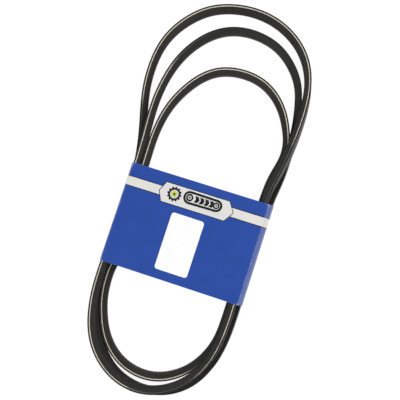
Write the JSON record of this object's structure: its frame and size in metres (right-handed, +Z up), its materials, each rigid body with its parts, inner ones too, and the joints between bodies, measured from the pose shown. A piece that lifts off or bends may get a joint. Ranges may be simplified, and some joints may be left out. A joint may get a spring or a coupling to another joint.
{
  "type": "coiled v-belt in a card sleeve",
  "caption": "Endless raw-edge V-belt coiled into stacked loops and held flat by a folded card sleeve with a blank paper label.",
  "frame": {"origin": "middle of the sleeve's underside, on the surface the packet lies on", "axes": "+Y along the coil towards its three spread loops, +X across it, +Z up out of the sleeve's printed front"},
  "size_m": [0.183, 0.4375, 0.0398],
  "materials": {
    "belt_fabric": "rubber-coated black back fabric",
    "belt_rubber": "matt black, cut flanks",
    "belt_cord": "cream tensile cords, cut edge",
    "printed_card": "satin printed card, blue with an off-white band",
    "glue": "dried paper glue",
    "label_paper": "smooth white"
  },
  "bodies": {
    "belt": {"belt_back_fabric": "belt_fabric", "belt_tension_rubber": "belt_rubber", "belt_tensile_cord": "belt_cord", "belt_compression_rubber": "belt_rubber"},
    "sleeve": {"card_sleeve": "printed_card", "seam_glue": "glue", "part_label": "label_paper"}
  },
  "joints": [
    {"name": "sleeve_slide", "type": "slide", "parent": "belt", "child": "sleeve", "axis": [0, 1, 0], "range_m": [-0.24, 0]}
  ]
}
